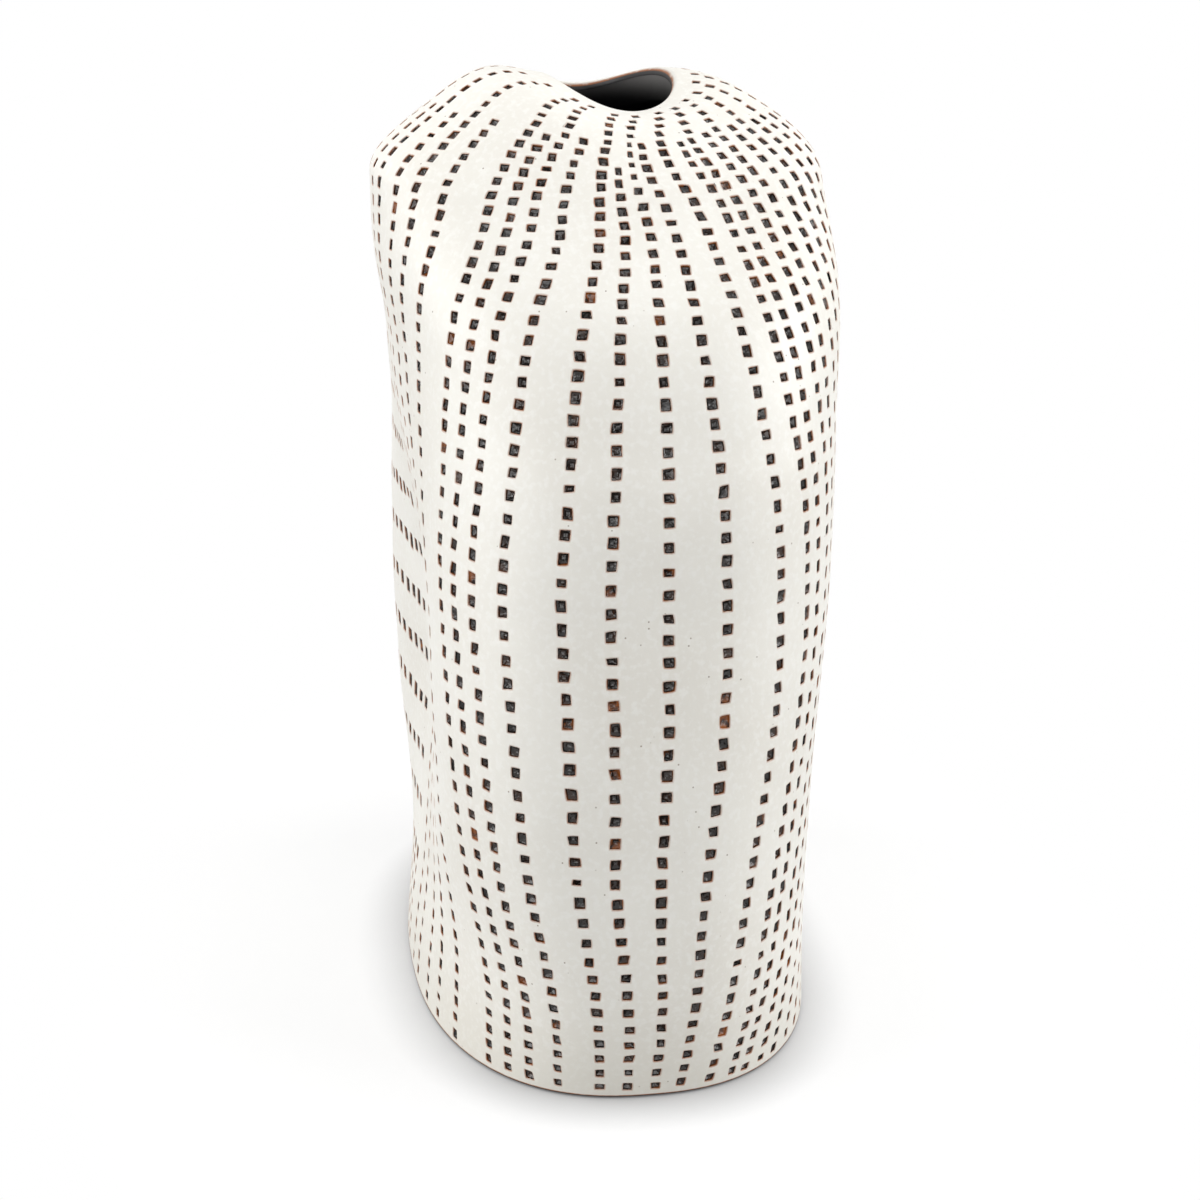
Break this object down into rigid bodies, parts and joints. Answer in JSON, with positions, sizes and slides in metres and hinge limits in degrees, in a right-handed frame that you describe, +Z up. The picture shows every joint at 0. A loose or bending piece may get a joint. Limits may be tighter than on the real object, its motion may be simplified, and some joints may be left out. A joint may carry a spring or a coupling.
{
  "type": "pillow vase",
  "caption": "Closed pillow-shaped ceramic vase with a small saddle-shaped mouth, one broad face pressed in, white slip outside and black glaze inside.",
  "frame": {"origin": "on the ground at the middle of the flat foot", "axes": "+Z up, X along the vase's length with its near end in the picture at +X, the pressed-in broad face looks to -Y"},
  "size_m": [0.1236, 0.0744, 0.1555],
  "materials": {
    "white_slip": "satin",
    "dark_clay": "matte",
    "black_glaze": "gloss"
  },
  "bodies": {
    "root": {"white_slip_coat": "white_slip", "clay_wall": "dark_clay", "base_slab": "dark_clay", "black_glaze_lining": "black_glaze"}
  },
  "joints": []
}
